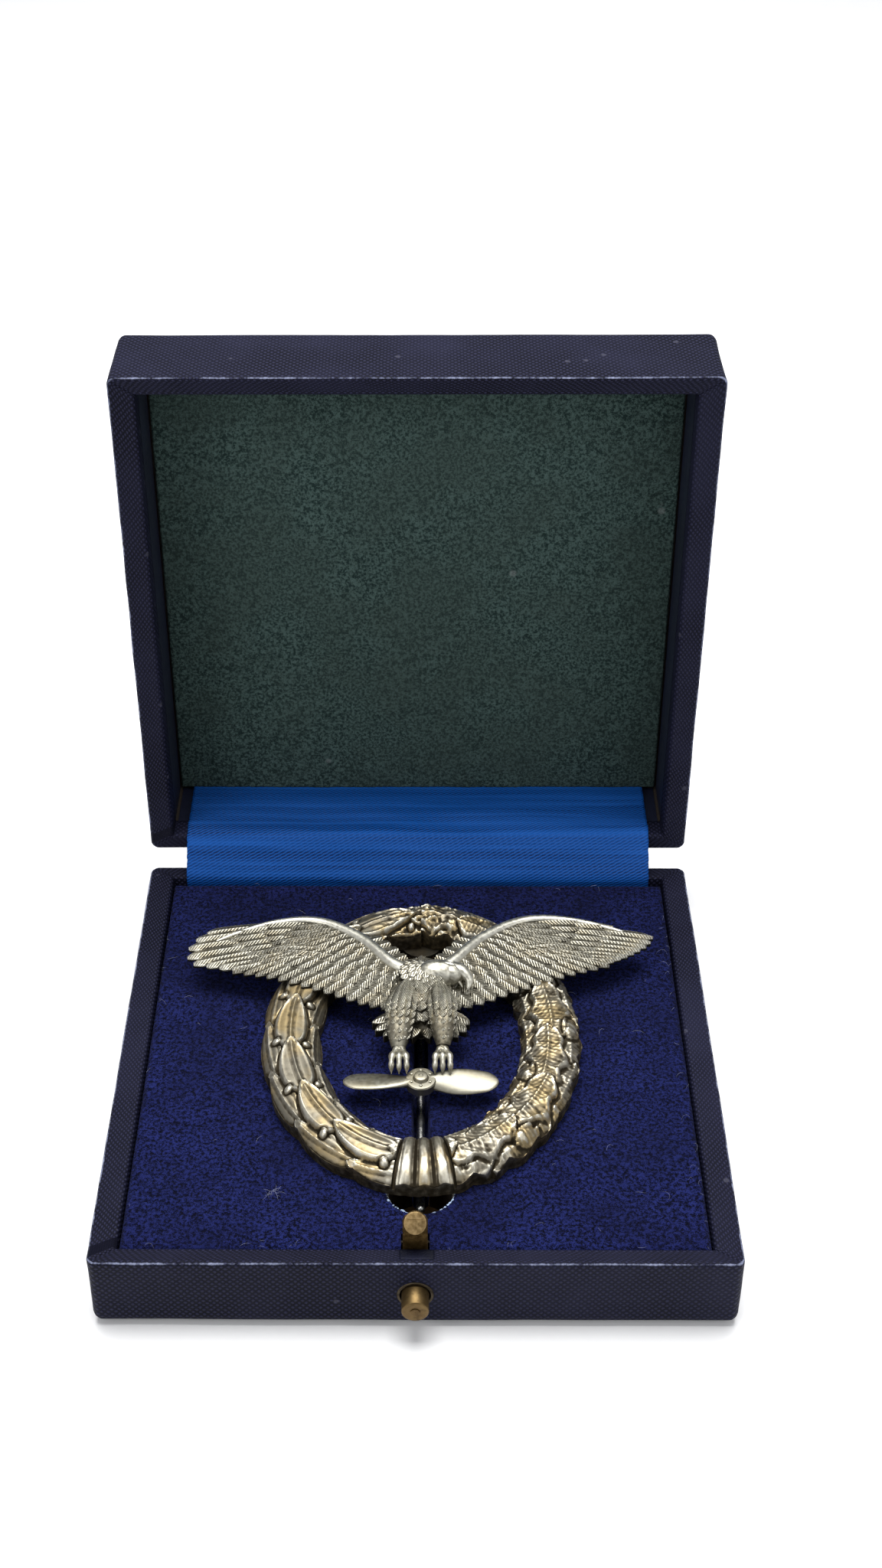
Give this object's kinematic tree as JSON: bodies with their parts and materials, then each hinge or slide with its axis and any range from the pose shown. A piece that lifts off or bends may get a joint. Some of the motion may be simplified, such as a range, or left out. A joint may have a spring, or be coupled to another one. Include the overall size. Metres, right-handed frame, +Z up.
{
  "type": "cased pilot badge",
  "caption": "Hinged presentation case with a push-button catch, holding an oval wreath pilot badge with spread wings and a hinged needle.",
  "frame": {"origin": "centre of the closed case's footprint, on the underside of the base", "axes": "+Z up, +Y towards the hinge, +X to the right of someone facing the open case"},
  "size_m": [0.078, 0.0931, 0.0883],
  "materials": {
    "leatherette": "fine cross-grained navy leatherette, paler where worn at the edges",
    "bare_wood": "plain softwood, hidden under the covering",
    "card": "off-white card",
    "navy_velvet": "short-pile navy velvet",
    "green_pile": "blue-green suede cloth, faintly stained",
    "navy_paper": "dark navy paper",
    "blue_satin": "royal blue satin ribbon",
    "brass": "aged brass",
    "spring_steel": "drawn steel wire",
    "aged_silver": "aged silver with bright ridges and dark recesses",
    "wreath_silver": "aged silver with a warm patina"
  },
  "bodies": {
    "base": {"base_covering": "leatherette", "base_bottom_sheet": "leatherette", "base_board": "bare_wood", "base_front_wall": "bare_wood", "base_back_wall": "bare_wood", "base_left_wall": "bare_wood", "base_right_wall": "bare_wood", "pad_block": "bare_wood", "pad_card": "card", "velvet_pad": "navy_velvet", "button_bush": "brass", "latch_guide": "brass", "latch_nail_left": "spring_steel", "latch_nail_right": "spring_steel", "latch_spring": "spring_steel", "satin_ribbon": "blue_satin", "hinge_strip": "leatherette"},
    "lid": {"lid_covering": "leatherette", "lid_top_sheet": "leatherette", "lid_board": "bare_wood", "lid_front_wall": "bare_wood", "lid_back_wall": "bare_wood", "lid_left_wall": "bare_wood", "lid_right_wall": "bare_wood", "lining_card": "card", "lid_lining": "green_pile", "lid_left_strip": "navy_paper", "lid_right_strip": "navy_paper", "lid_front_strip": "navy_paper", "strike_plate": "brass", "strike_nail_left": "brass", "strike_nail_right": "brass"},
    "latch": {"push_button": "brass", "button_stem": "brass", "catch_tongue": "brass"},
    "badge": {"wreath": "wreath_silver", "bird": "aged_silver", "propeller": "aged_silver", "propeller_hub": "aged_silver", "wing_rivet_left": "aged_silver", "wing_rivet_right": "aged_silver", "hinge_plate": "wreath_silver", "hinge_block": "wreath_silver", "needle_axle": "spring_steel", "catch_plate": "wreath_silver", "needle_catch": "wreath_silver"},
    "needle": {"needle": "spring_steel"}
  },
  "joints": [
    {"name": "lid_hinge", "type": "hinge", "parent": "base", "child": "lid", "pos_m": [0, 0.03915, 0.01165], "axis": [1, 0, 0], "range_deg": [0, 90], "deforming": ["satin_ribbon", "hinge_strip"]},
    {"name": "button_press", "type": "slide", "parent": "base", "child": "latch", "axis": [0, 1, 0], "range_m": [0, 0.0014], "stiffness_N_per_m": 300, "springref_m": -0.0005, "deforming": ["latch_spring"]},
    {"name": "badge_lift", "type": "slide", "parent": "base", "child": "badge", "axis": [0, 0, 1], "range_m": [0, 0.07]},
    {"name": "needle_swing", "type": "hinge", "parent": "badge", "child": "needle", "pos_m": [0.0006, 0.0214, 0.0079], "axis": [1, 0, 0], "range_deg": [0, 80.3]}
  ],
  "couplings": [
    {"joint": "needle_swing", "follows": "badge_lift", "rad_per_m": 20}
  ]
}
